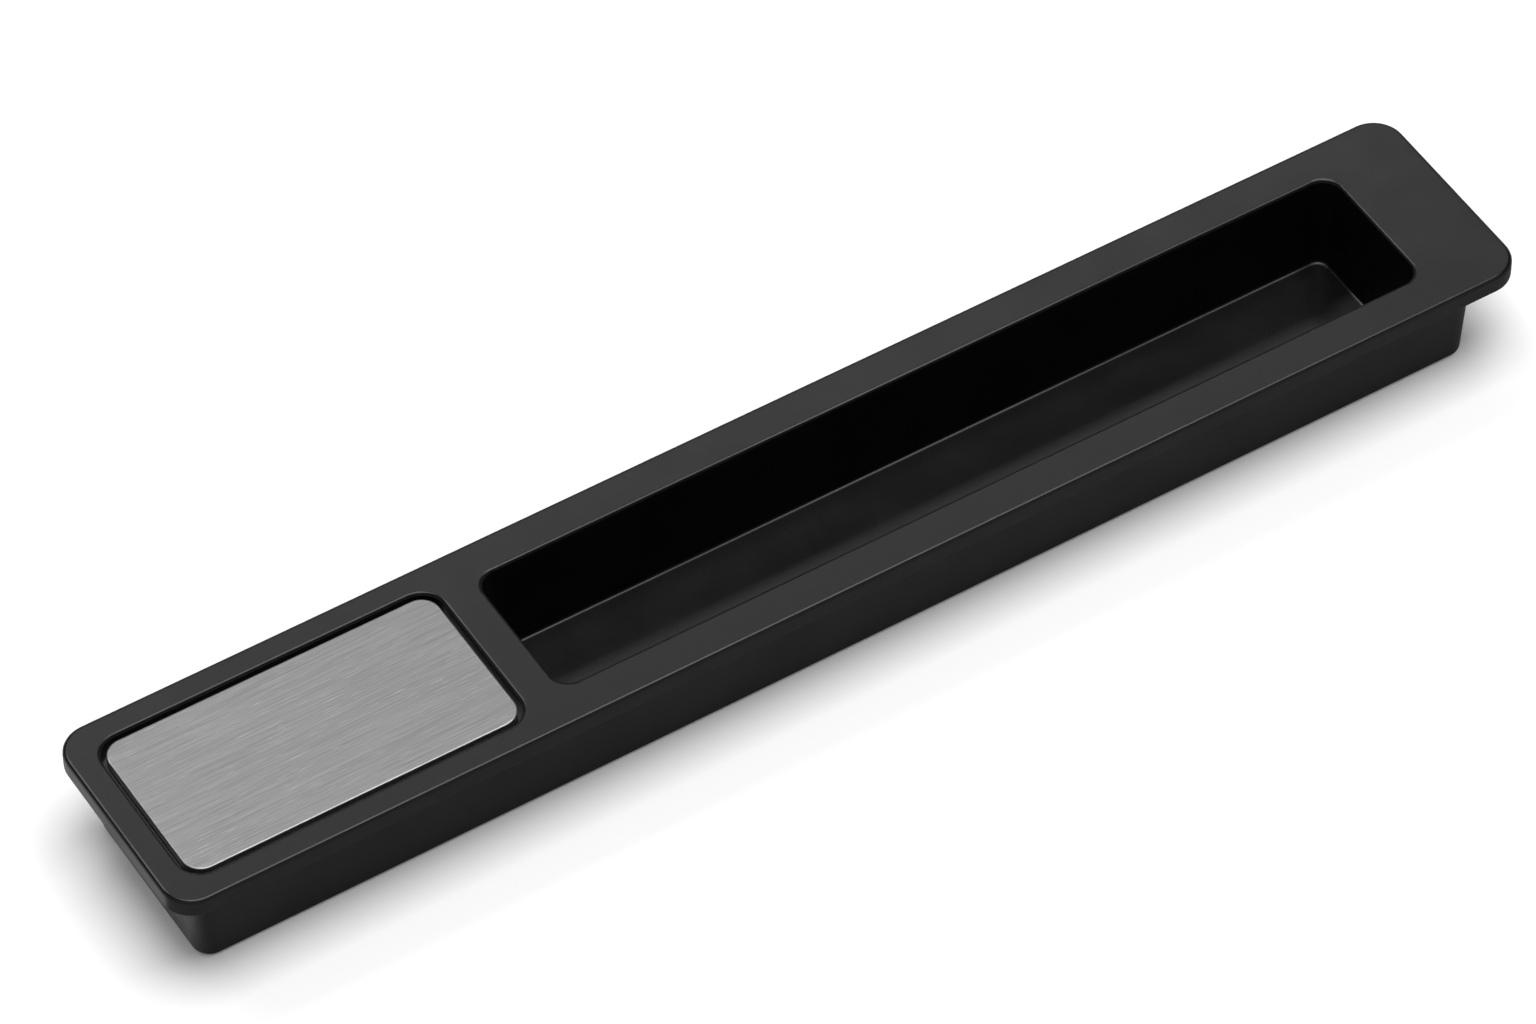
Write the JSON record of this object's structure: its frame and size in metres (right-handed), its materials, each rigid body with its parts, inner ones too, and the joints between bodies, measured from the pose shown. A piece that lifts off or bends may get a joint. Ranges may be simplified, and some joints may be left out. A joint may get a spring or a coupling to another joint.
{
  "type": "pocket door pull",
  "caption": "Flush pull for a pocket door: a long flanged body with a drafted finger recess, and a brushed steel cover plate set into one end.",
  "frame": {"origin": "on the surface that the pull lies on, below the middle of its flange", "axes": "+X along the pull from the cover plate towards the finger recess, +Z out of the door face, +Y across"},
  "size_m": [0.22, 0.0356, 0.0168],
  "materials": {
    "satin_black": "satin black coating on a zinc casting",
    "brushed_plate": "brushed along its length",
    "plate_tape": "thin double-sided tape"
  },
  "bodies": {
    "root": {"pull_body": "satin_black", "cover_plate": "brushed_plate", "tape_strip_near": "plate_tape", "tape_strip_far": "plate_tape"}
  },
  "joints": []
}
